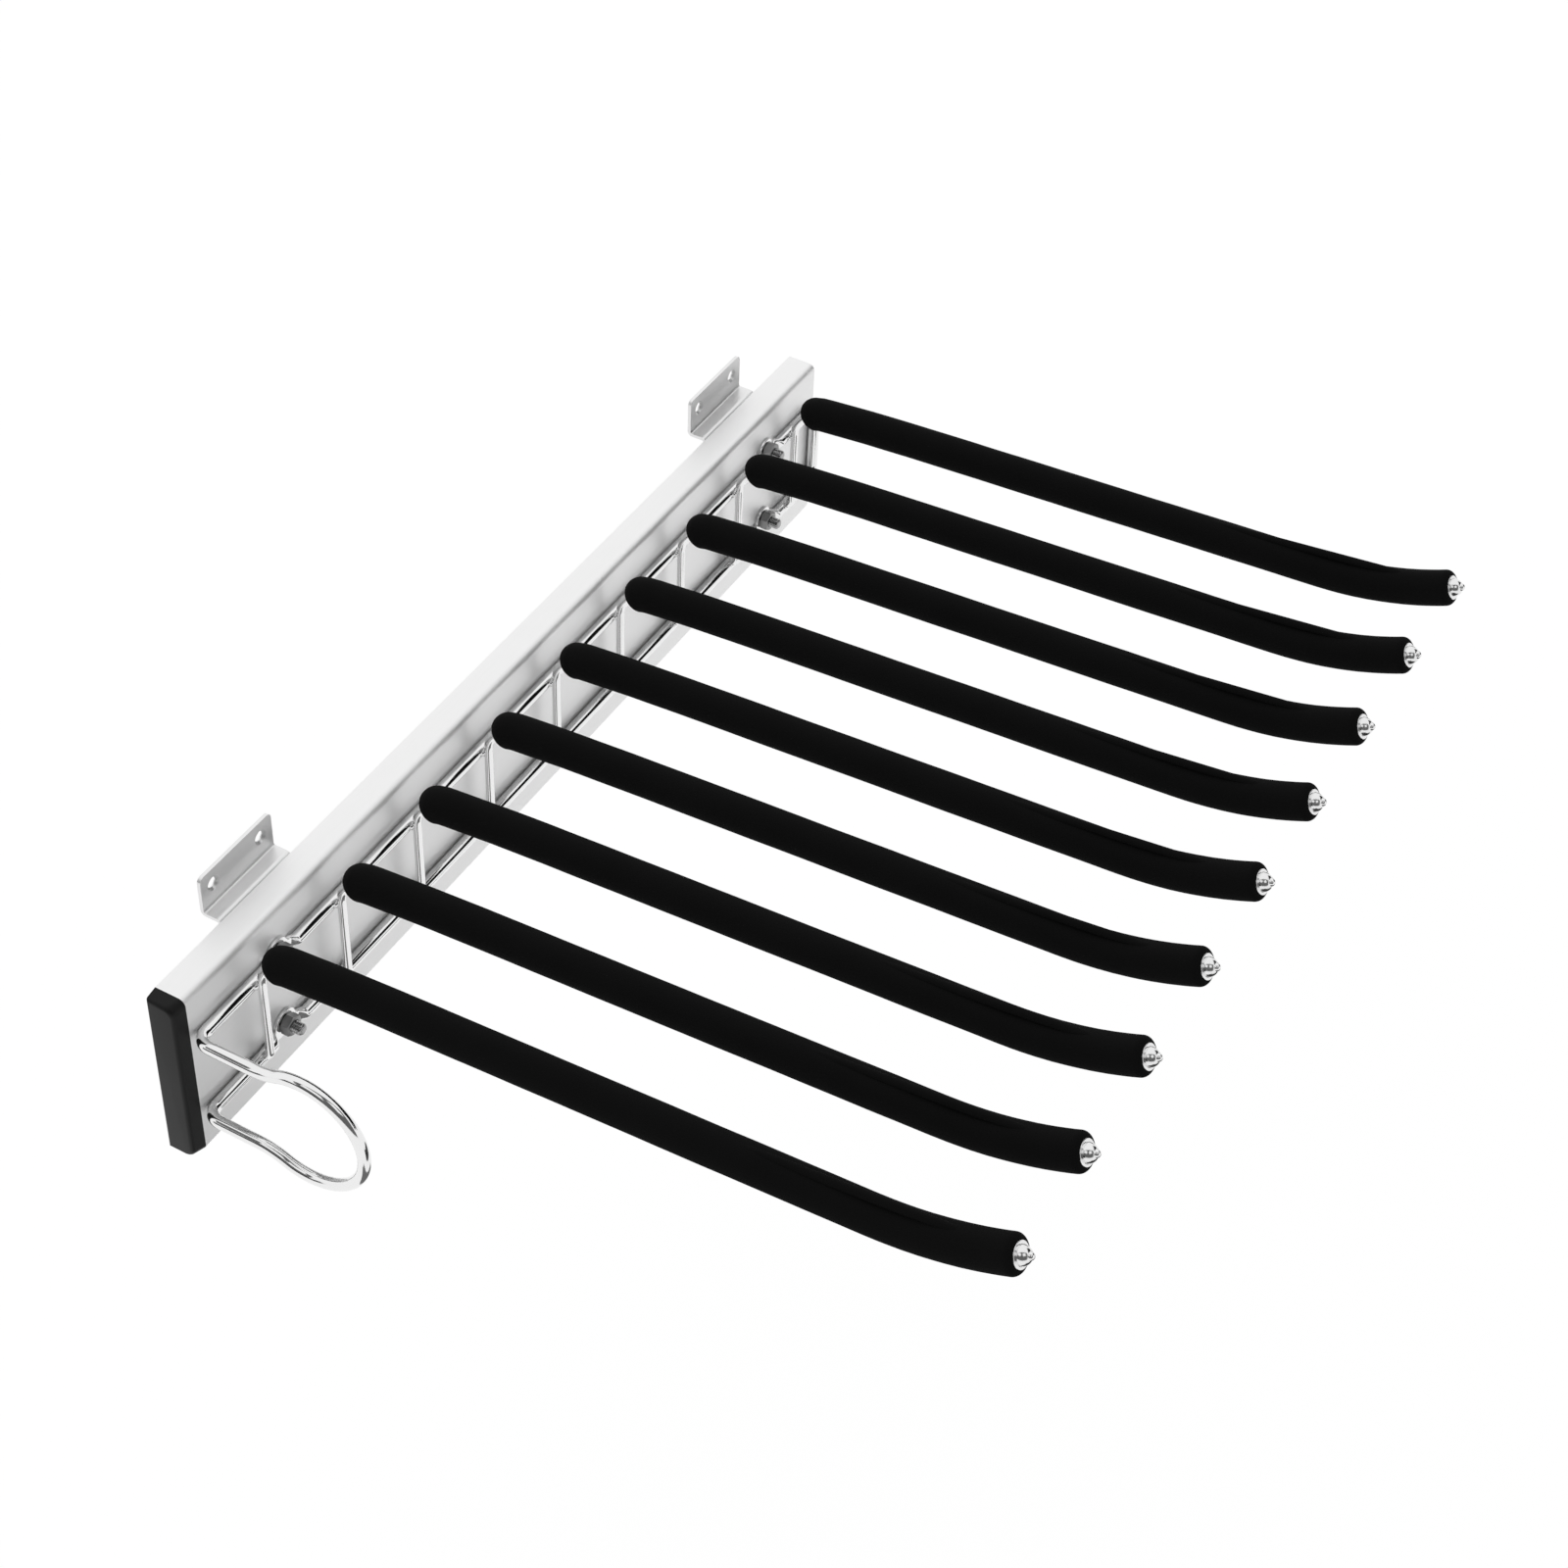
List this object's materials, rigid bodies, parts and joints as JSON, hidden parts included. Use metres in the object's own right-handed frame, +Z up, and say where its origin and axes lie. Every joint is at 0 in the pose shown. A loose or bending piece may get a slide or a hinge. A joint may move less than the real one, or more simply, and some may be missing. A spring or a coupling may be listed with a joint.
{
  "type": "pull-out trouser rack",
  "caption": "Side-mounted pull-out trouser rack: foam-sleeved arms on a chromed wire frame with a finger loop, on a satin cover that runs on a ball slide hung from wall brackets.",
  "frame": {"origin": "on the wall face, midway between the front bracket's two screw holes", "axes": "+X away from the side wall towards the arm tips, +Y into the wardrobe along the slide, +Z up"},
  "size_m": [0.3374, 0.46, 0.1147],
  "materials": {
    "satin_cover": "satin anodised",
    "zinc_bracket": "bright zinc plate",
    "zinc_slide": "zinc plate",
    "chrome_wire": "polished chrome plate",
    "nickel_cap": "bright nickel",
    "bolt_steel": "bright zinc",
    "nut_steel": "dark plated",
    "black_foam": "matt closed-cell foam",
    "black_plastic": "fine matt texture",
    "retainer_strip": "stamped strip",
    "ball_steel": "polished balls",
    "buffer_rubber": "moulded rubber"
  },
  "bodies": {
    "wall_side": {"front_wall_bracket": "zinc_bracket", "rear_wall_bracket": "zinc_bracket", "bracket_rivets": "zinc_slide", "slide_outer_member": "zinc_slide", "outer_rear_buffer": "buffer_rubber"},
    "carriage": {"slide_inner_member": "zinc_slide", "cover_profile": "satin_cover", "cover_rivets": "zinc_slide", "front_end_cap": "black_plastic", "frame_wire": "chrome_wire", "pull_handle": "chrome_wire", "frame_bolts": "bolt_steel", "frame_nuts": "nut_steel", "arm_rod_1": "chrome_wire", "foam_sleeve_1": "black_foam", "tip_cap_1": "nickel_cap", "arm_rod_2": "chrome_wire", "foam_sleeve_2": "black_foam", "tip_cap_2": "nickel_cap", "arm_rod_3": "chrome_wire", "foam_sleeve_3": "black_foam", "tip_cap_3": "nickel_cap", "arm_rod_4": "chrome_wire", "foam_sleeve_4": "black_foam", "tip_cap_4": "nickel_cap", "arm_rod_5": "chrome_wire", "foam_sleeve_5": "black_foam", "tip_cap_5": "nickel_cap", "arm_rod_6": "chrome_wire", "foam_sleeve_6": "black_foam", "tip_cap_6": "nickel_cap", "arm_rod_7": "chrome_wire", "foam_sleeve_7": "black_foam", "tip_cap_7": "nickel_cap", "arm_rod_8": "chrome_wire", "foam_sleeve_8": "black_foam", "tip_cap_8": "nickel_cap", "arm_rod_9": "chrome_wire", "foam_sleeve_9": "black_foam", "tip_cap_9": "nickel_cap"},
    "middle_slide": {"slide_middle_member": "zinc_slide", "middle_rear_buffer": "buffer_rubber"},
    "outer_cage": {"outer_ball_retainers": "retainer_strip", "outer_slide_balls": "ball_steel"},
    "inner_cage": {"inner_ball_retainers": "retainer_strip", "inner_slide_balls": "ball_steel"}
  },
  "joints": [
    {"name": "rack_pull", "type": "slide", "parent": "wall_side", "child": "carriage", "axis": [0, -1, 0], "range_m": [0, 0.4]},
    {"name": "middle_run", "type": "slide", "parent": "wall_side", "child": "middle_slide", "axis": [0, -1, 0], "range_m": [0, 0.2]},
    {"name": "outer_cage_run", "type": "slide", "parent": "wall_side", "child": "outer_cage", "axis": [0, -1, 0], "range_m": [0, 0.1]},
    {"name": "inner_cage_run", "type": "slide", "parent": "wall_side", "child": "inner_cage", "axis": [0, -1, 0], "range_m": [0, 0.3]}
  ],
  "couplings": [
    {"joint": "middle_run", "follows": "rack_pull", "ratio": 0.5},
    {"joint": "outer_cage_run", "follows": "rack_pull", "ratio": 0.25},
    {"joint": "inner_cage_run", "follows": "rack_pull", "ratio": 0.75}
  ]
}
